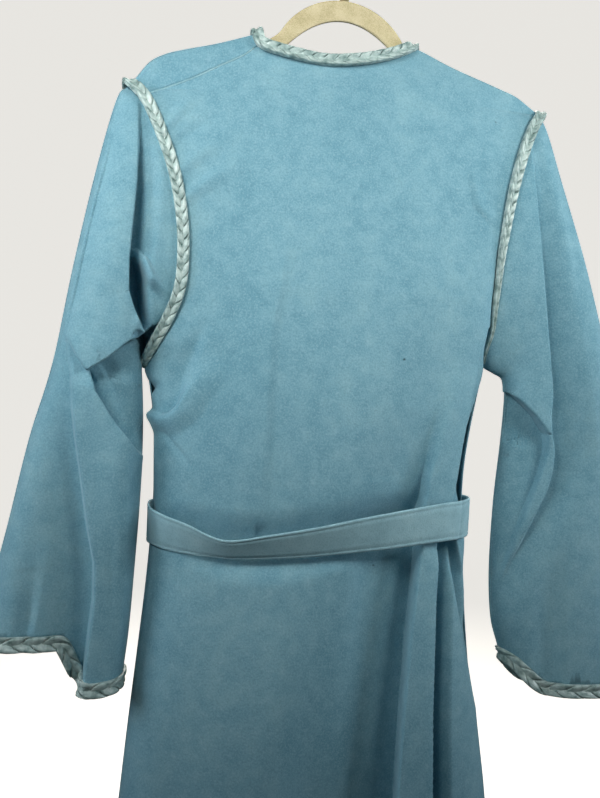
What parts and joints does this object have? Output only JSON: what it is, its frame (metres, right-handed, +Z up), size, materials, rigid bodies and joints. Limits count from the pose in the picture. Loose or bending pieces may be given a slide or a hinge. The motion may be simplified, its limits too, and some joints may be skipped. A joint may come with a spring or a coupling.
{
  "type": "wrap robe on a hanger",
  "caption": "Long plain wrap robe with wide sleeves, plaited trim at neck, armholes and cuffs, and a tied self belt, hung on a slim flocked hanger.",
  "frame": {"origin": "top of the inside of the hanger's hook, where a rail or peg bears on it", "axes": "+Z up, +X along the shoulders towards the wearer's right, -Y behind the robe's back, +Y before its fronts"},
  "size_m": [0.8121, 0.1862, 1.4337],
  "materials": {
    "cloth": "matte suede-like velour with a short nap",
    "satin_plait": "satin strands, silvery sage",
    "flock": "short velvet flock, cream",
    "hook_wire": "bright plated wire"
  },
  "bodies": {
    "root": {"back": "cloth", "front_left": "cloth", "front_right": "cloth", "sleeve_left": "cloth", "sleeve_right": "cloth", "plait_neck": "satin_plait", "plait_armhole_left": "satin_plait", "plait_armhole_right": "satin_plait", "plait_cuff_left": "satin_plait", "plait_cuff_right": "satin_plait", "belt_band": "cloth", "belt_knot": "cloth", "belt_end_left": "cloth", "belt_end_right": "cloth", "hanger": "flock", "hanger_collar": "flock", "hook": "hook_wire"}
  },
  "joints": []
}
